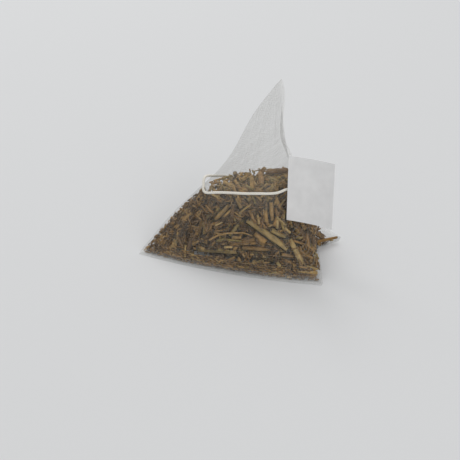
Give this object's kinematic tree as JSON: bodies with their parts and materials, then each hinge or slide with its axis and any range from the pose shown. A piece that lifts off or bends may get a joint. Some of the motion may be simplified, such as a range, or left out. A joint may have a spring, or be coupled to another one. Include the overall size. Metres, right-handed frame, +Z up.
{
  "type": "pyramid tea bag",
  "caption": "Pyramid tea bag of see-through woven mesh, part filled with cut roasted stems, with a cotton string wound round it and a blank paper tag.",
  "frame": {"origin": "on the floor, under the middle of the pouch's box", "axes": "+X along the front weld, from the left corner to the right one; +Y from the front weld back to the upright weld; +Z up"},
  "size_m": [0.0653, 0.0298, 0.059],
  "materials": {
    "mesh_pouch": "fine white woven nylon mesh, see-through, with two welded bands",
    "string": "white twisted cotton thread",
    "tag": "uncoated white paper",
    "tea_bed": "fine cut roasted leaf and twig, dry and matt",
    "stem": "cut roasted stems, fibrous and matt"
  },
  "bodies": {
    "root": {"mesh_pouch": "mesh_pouch", "string": "string", "tag": "tag", "tea_bed": "tea_bed", "stem_01": "stem", "stem_02": "stem", "stem_03": "stem", "stem_04": "stem", "stem_05": "stem", "stem_06": "stem", "stem_07": "stem", "stem_08": "stem", "stem_09": "stem", "stem_10": "stem", "stem_11": "stem", "stem_12": "stem", "stem_13": "stem", "stem_14": "stem", "stem_15": "stem", "stem_16": "stem", "stem_17": "stem", "stem_18": "stem", "stem_19": "stem", "stem_20": "stem", "stem_21": "stem", "stem_22": "stem", "stem_23": "stem", "stem_24": "stem", "stem_25": "stem", "stem_26": "stem", "stem_27": "stem", "stem_28": "stem", "stem_29": "stem", "stem_30": "stem", "stem_31": "stem", "stem_32": "stem", "stem_33": "stem", "stem_34": "stem", "stem_35": "stem", "stem_36": "stem", "stem_37": "stem", "stem_38": "stem", "stem_39": "stem", "stem_40": "stem", "stem_41": "stem", "stem_42": "stem", "stem_43": "stem", "stem_44": "stem"}
  },
  "joints": []
}
